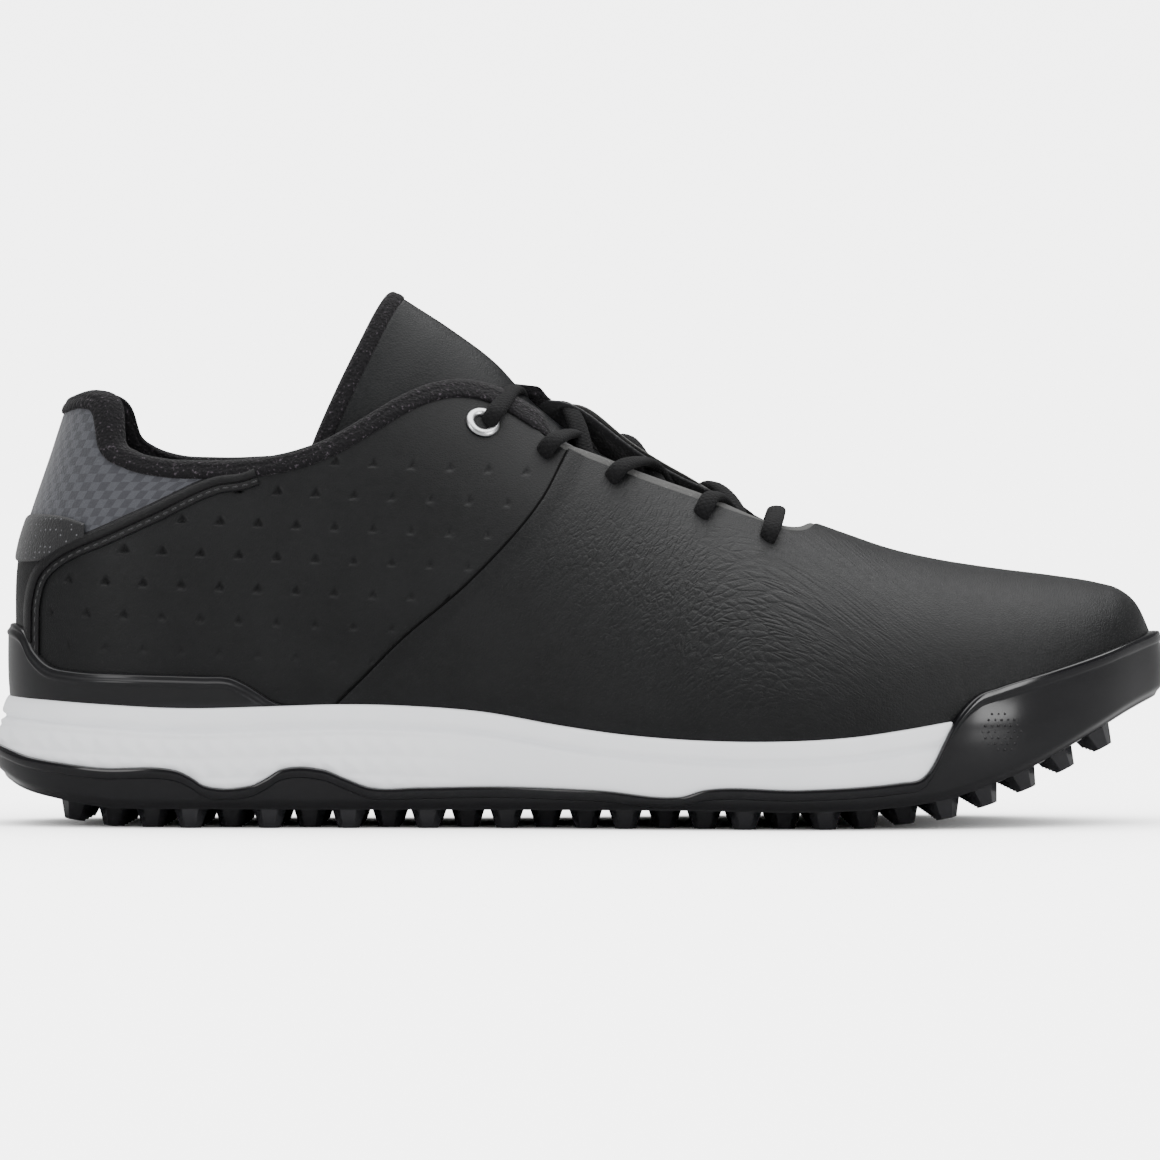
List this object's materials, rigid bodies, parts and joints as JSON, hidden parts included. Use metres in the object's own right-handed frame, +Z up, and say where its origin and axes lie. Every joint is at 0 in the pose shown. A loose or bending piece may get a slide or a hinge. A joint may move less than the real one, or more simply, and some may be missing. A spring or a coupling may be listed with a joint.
{
  "type": "golf shoe",
  "caption": "Low-cut laced golf shoe, right foot: leather upper, padded tongue and collar, foam midsole and a plastic outsole with traction lugs.",
  "frame": {"origin": "on the ground under the middle of the shoe's bounding box", "axes": "+X towards the toe, +Z up, -Y towards the lateral (outer) side of a right shoe"},
  "size_m": [0.3036, 0.1112, 0.1403],
  "materials": {
    "black_leather": "satin pebbled",
    "grey_fabric": "woven two-tone checks",
    "satin_black_plastic": "satin",
    "black_trim": "satin",
    "reflective_strap": "woven with fine pale dots",
    "black_knit": "ribbed knit",
    "grey_stay": "cut edge of a bonded backing",
    "foam": "open-cell foam",
    "black_lining": "brushed textile",
    "board": "pressed fibre board",
    "white_foam": "matte moulded foam",
    "gloss_black_plastic": "gloss",
    "smoky_plastic": "smoky, slightly translucent",
    "light_metal": "satin",
    "lace_cord": "braided",
    "clear_plastic": "gloss"
  },
  "bodies": {
    "shoe": {"vamp": "black_leather", "lateral_quarter": "black_leather", "medial_quarter": "black_leather", "backstay": "black_leather", "heel_panel": "grey_fabric", "heel_clip": "satin_black_plastic", "lateral_piping": "black_trim", "medial_piping": "black_trim", "heel_strap": "reflective_strap", "lateral_collar_binding": "black_knit", "medial_collar_binding": "black_knit", "lateral_facing_stay": "grey_stay", "medial_facing_stay": "grey_stay", "toe_puff": "grey_stay", "heel_counter": "grey_stay", "collar_foam": "foam", "upper_backing": "foam", "lining": "black_lining", "insole_board": "board", "shank": "board", "midsole": "white_foam", "outsole": "gloss_black_plastic", "rear_lugs": "smoky_plastic", "front_lugs": "smoky_plastic", "tongue_root_cover": "black_leather", "tongue_root_foam": "foam", "tongue_root_lining": "black_lining", "lateral_top_eyelet": "light_metal", "medial_top_eyelet": "light_metal", "lace": "lace_cord", "lateral_aglet": "clear_plastic", "medial_aglet": "clear_plastic"},
    "tongue_flap": {"tongue_flap_cover": "black_leather", "tongue_flap_foam": "foam", "tongue_flap_lining": "black_lining", "tongue_binding": "black_knit"},
    "sockliner": {"sockliner": "black_lining"}
  },
  "joints": [
    {"name": "tongue_fold", "type": "hinge", "parent": "shoe", "child": "tongue_flap", "pos_m": [-0.026, 0, 0.1236], "axis": [0, 1, 0], "range_deg": [-6, 40]},
    {"name": "sockliner_lift", "type": "hinge", "parent": "shoe", "child": "sockliner", "pos_m": [0.131, 0, 0.0355], "axis": [0, 1, 0], "range_deg": [0, 7]}
  ]
}
